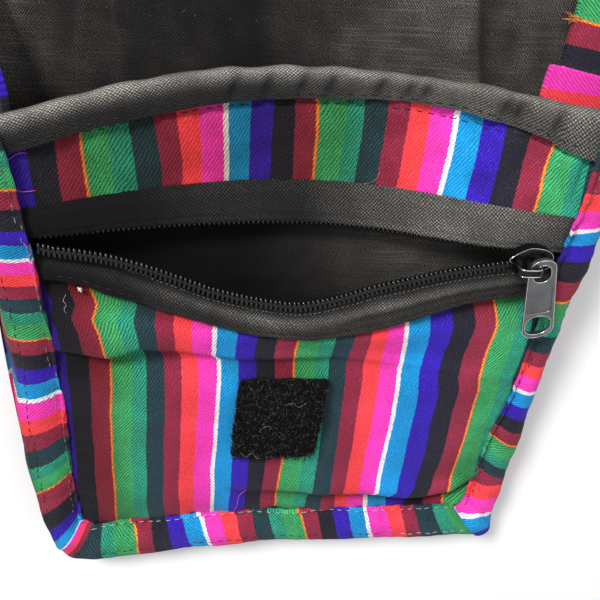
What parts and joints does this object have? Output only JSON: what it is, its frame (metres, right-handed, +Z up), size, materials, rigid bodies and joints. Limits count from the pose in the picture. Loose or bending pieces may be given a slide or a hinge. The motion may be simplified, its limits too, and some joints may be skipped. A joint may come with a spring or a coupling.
{
  "type": "crossbody bag",
  "caption": "Small striped cloth crossbody bag lying on its back with the flap open: zip pocket with a pull, hook-and-loop patch, side strip and long cloth strap.",
  "frame": {"origin": "on the flat underside of the bag's back, half way across the bag and half way between its bottom and its mouth", "axes": "+X across the bag, to the right in the picture; +Y from the bottom to the mouth and the open flap; +Z up from the table, out of the front"},
  "size_m": [0.2235, 0.5915, 0.0344],
  "materials": {
    "stripes": "woven cotton in bright stripes, ribbed twill",
    "black_cloth": "plain-woven black cotton",
    "lining": "smooth black lining cloth",
    "pile": "black looped pile",
    "coil": "black nylon",
    "gunmetal": "gunmetal plating, satin"
  },
  "bodies": {
    "bag": {"back_outer": "stripes", "back_lining": "lining", "gusset": "stripes", "front_band": "stripes", "mouth_binding": "black_cloth", "zip_placket": "black_cloth", "zip_tape_lower": "black_cloth", "zip_coil_upper": "coil", "zip_coil_lower": "coil", "zip_slider": "gunmetal", "slider_bridge": "gunmetal", "pocket_lining": "lining", "pocket_panel": "stripes", "loop_patch": "pile", "hook_patch": "pile", "strap": "stripes"},
    "pull": {"pull_tab": "gunmetal"}
  },
  "joints": [
    {"name": "pull_tab_hinge", "type": "hinge", "parent": "bag", "child": "pull", "pos_m": [0.05495, 0.0474, 0.0315], "axis": [-0.9799, -0.1994, 0], "range_deg": [0, 40]}
  ]
}
